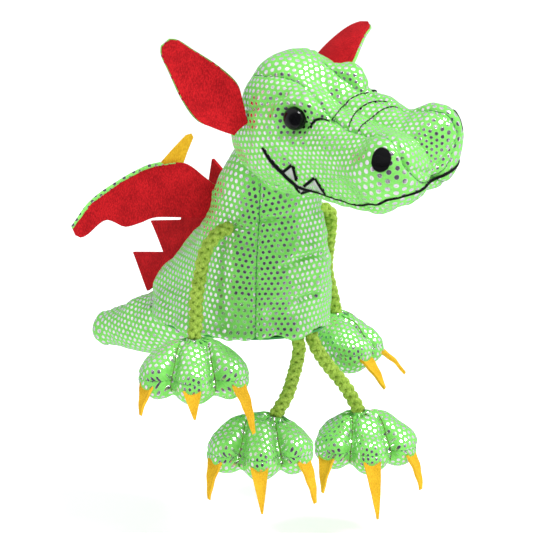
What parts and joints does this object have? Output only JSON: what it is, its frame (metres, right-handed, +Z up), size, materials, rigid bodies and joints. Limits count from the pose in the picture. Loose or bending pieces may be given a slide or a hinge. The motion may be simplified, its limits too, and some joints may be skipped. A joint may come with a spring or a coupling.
{
  "type": "finger puppet",
  "caption": "Plush dragon hand puppet worn on one finger: stuffed head, body and tail, felt ears, wings and spines, and paws on braided cords.",
  "frame": {"origin": "middle of the finger sleeve's mouth, in the plane of the body's hem", "axes": "+Z up along the finger; the dragon looks along -Y; its left is +X"},
  "size_m": [0.1598, 0.1848, 0.1934],
  "materials": {
    "foil_cloth": "light green knit with silver foil dots",
    "red_felt": "red felt",
    "claw_felt": "yellow felt",
    "cord": "olive green braided cord",
    "stuffing": "white polyester filling",
    "lining": "dark green lining cloth",
    "eye": "glossy black plastic",
    "washer": "moulded plastic"
  },
  "bodies": {
    "root": {"belly_panel": "foil_cloth", "body_side_left": "foil_cloth", "body_side_right": "foil_cloth", "base_panel": "foil_cloth", "finger_sleeve": "lining", "body_filling": "stuffing", "back_spines": "red_felt"},
    "neck": {"neck_filling": "stuffing"},
    "head": {"head_side_left": "foil_cloth", "head_side_right": "foil_cloth", "head_gusset": "foil_cloth", "jaw_panel": "foil_cloth", "head_filling": "stuffing", "eye_left": "eye", "eye_right": "eye", "eye_washer_left": "washer", "eye_washer_right": "washer"},
    "ear_left": {"ear_left_felt": "red_felt", "ear_left_back": "foil_cloth"},
    "wing_left": {"wing_left_felt": "red_felt", "wing_left_back": "foil_cloth", "wing_left_claw": "claw_felt"},
    "arm_left": {"arm_cord_left": "cord"},
    "hand_left": {"hand_left_top": "foil_cloth", "hand_left_palm": "foil_cloth", "hand_left_filling": "stuffing", "hand_left_claw_1": "claw_felt", "hand_left_claw_2": "claw_felt", "hand_left_claw_3": "claw_felt"},
    "leg_left": {"leg_cord_left": "cord"},
    "foot_left": {"foot_left_top": "foil_cloth", "foot_left_sole": "foil_cloth", "foot_left_filling": "stuffing", "foot_left_claw_1": "claw_felt", "foot_left_claw_2": "claw_felt", "foot_left_claw_3": "claw_felt"},
    "ear_right": {"ear_right_felt": "red_felt", "ear_right_back": "foil_cloth"},
    "wing_right": {"wing_right_felt": "red_felt", "wing_right_back": "foil_cloth", "wing_right_claw": "claw_felt"},
    "arm_right": {"arm_cord_right": "cord"},
    "hand_right": {"hand_right_top": "foil_cloth", "hand_right_palm": "foil_cloth", "hand_right_filling": "stuffing", "hand_right_claw_1": "claw_felt", "hand_right_claw_2": "claw_felt", "hand_right_claw_3": "claw_felt"},
    "leg_right": {"leg_cord_right": "cord"},
    "foot_right": {"foot_right_top": "foil_cloth", "foot_right_sole": "foil_cloth", "foot_right_filling": "stuffing", "foot_right_claw_1": "claw_felt", "foot_right_claw_2": "claw_felt", "foot_right_claw_3": "claw_felt"},
    "tail": {"tail_side_left": "foil_cloth", "tail_side_right": "foil_cloth", "tail_filling": "stuffing"}
  },
  "joints": [
    {"name": "head_turn", "type": "hinge", "parent": "root", "child": "neck", "pos_m": [0, -0.004, 0.057], "axis": [0, 0, 1], "range_deg": [-30, 30], "stiffness_Nm_per_rad": 0.05},
    {"name": "head_nod", "type": "hinge", "parent": "neck", "child": "head", "pos_m": [0, -0.004, 0.057], "axis": [1, 0, 0], "range_deg": [-12, 10], "stiffness_Nm_per_rad": 0.12},
    {"name": "ear_left_flop", "type": "hinge", "parent": "head", "child": "ear_left", "pos_m": [0.01341, -0.01664, 0.10199], "axis": [0.0492, -0.9907, 0.1272], "range_deg": [-15, 15], "stiffness_Nm_per_rad": 0.004},
    {"name": "wing_left_flap", "type": "hinge", "parent": "root", "child": "wing_left", "pos_m": [0.0153, 0.0223, 0.044], "axis": [-0.5277, -0.3797, 0.7598], "range_deg": [-15, 15], "stiffness_Nm_per_rad": 0.006},
    {"name": "ear_right_flop", "type": "hinge", "parent": "head", "child": "ear_right", "pos_m": [-0.03134, -0.01664, 0.08831], "axis": [-0.639, 0.4173, -0.6462], "range_deg": [-15, 15], "stiffness_Nm_per_rad": 0.004},
    {"name": "wing_right_flap", "type": "hinge", "parent": "root", "child": "wing_right", "pos_m": [-0.0153, 0.0223, 0.044], "axis": [0.5277, -0.3797, 0.7598], "range_deg": [-15, 15], "stiffness_Nm_per_rad": 0.006},
    {"name": "tail_wag", "type": "hinge", "parent": "root", "child": "tail", "pos_m": [0, 0.043, -0.002], "axis": [0, 0, 1], "range_deg": [-15, 6], "stiffness_Nm_per_rad": 0.03},
    {"name": "arm_left_swing", "type": "hinge", "parent": "root", "child": "arm_left", "pos_m": [0.026, -0.007, 0.045], "axis": [-1, 0, 0], "range_deg": [-12, 30]},
    {"name": "hand_left_swing", "type": "hinge", "parent": "arm_left", "child": "hand_left", "pos_m": [0.04679, 0.00421, -0.003], "axis": [-1, 0, 0], "range_deg": [-12, 12]},
    {"name": "arm_right_swing", "type": "hinge", "parent": "root", "child": "arm_right", "pos_m": [-0.026, -0.007, 0.045], "axis": [-1, 0, 0], "range_deg": [-12, 30]},
    {"name": "hand_right_swing", "type": "hinge", "parent": "arm_right", "child": "hand_right", "pos_m": [-0.05129, -0.01429, 0.007], "axis": [-1, 0, 0], "range_deg": [-12, 12]},
    {"name": "leg_left_swing", "type": "hinge", "parent": "root", "child": "leg_left", "pos_m": [0.006, -0.0225, -0.0035], "axis": [-1, 0, 0], "range_deg": [-6, 30]},
    {"name": "foot_left_swing", "type": "hinge", "parent": "leg_left", "child": "foot_left", "pos_m": [0.02994, -0.02503, -0.036], "axis": [-1, 0, 0], "range_deg": [-12, 12]},
    {"name": "leg_right_swing", "type": "hinge", "parent": "root", "child": "leg_right", "pos_m": [-0.003, -0.0235, -0.0035], "axis": [-1, 0, 0], "range_deg": [-6, 30]},
    {"name": "foot_right_swing", "type": "hinge", "parent": "leg_right", "child": "foot_right", "pos_m": [-0.02205, -0.02954, -0.0265], "axis": [-1, 0, 0], "range_deg": [-12, 12]}
  ]
}
